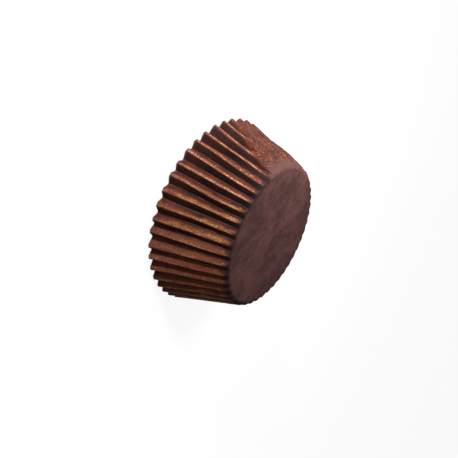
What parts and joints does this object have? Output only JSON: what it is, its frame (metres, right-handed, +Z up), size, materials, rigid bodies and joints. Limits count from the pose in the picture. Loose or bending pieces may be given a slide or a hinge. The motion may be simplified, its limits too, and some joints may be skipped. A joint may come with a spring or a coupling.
{
  "type": "cupcake liner",
  "caption": "Pleated paper baking cup with a flat round base and a flared, fluted wall, standing mouth down.",
  "frame": {"origin": "centre of the mouth, on the surface that the liner stands on", "axes": "+Z up the axis, from the mouth to the outside of the base; +X and +Y each through a pleat ridge"},
  "size_m": [0.066, 0.066, 0.025],
  "materials": {
    "greaseproof_paper": "satin"
  },
  "bodies": {
    "root": {"liner": "greaseproof_paper"}
  },
  "joints": []
}
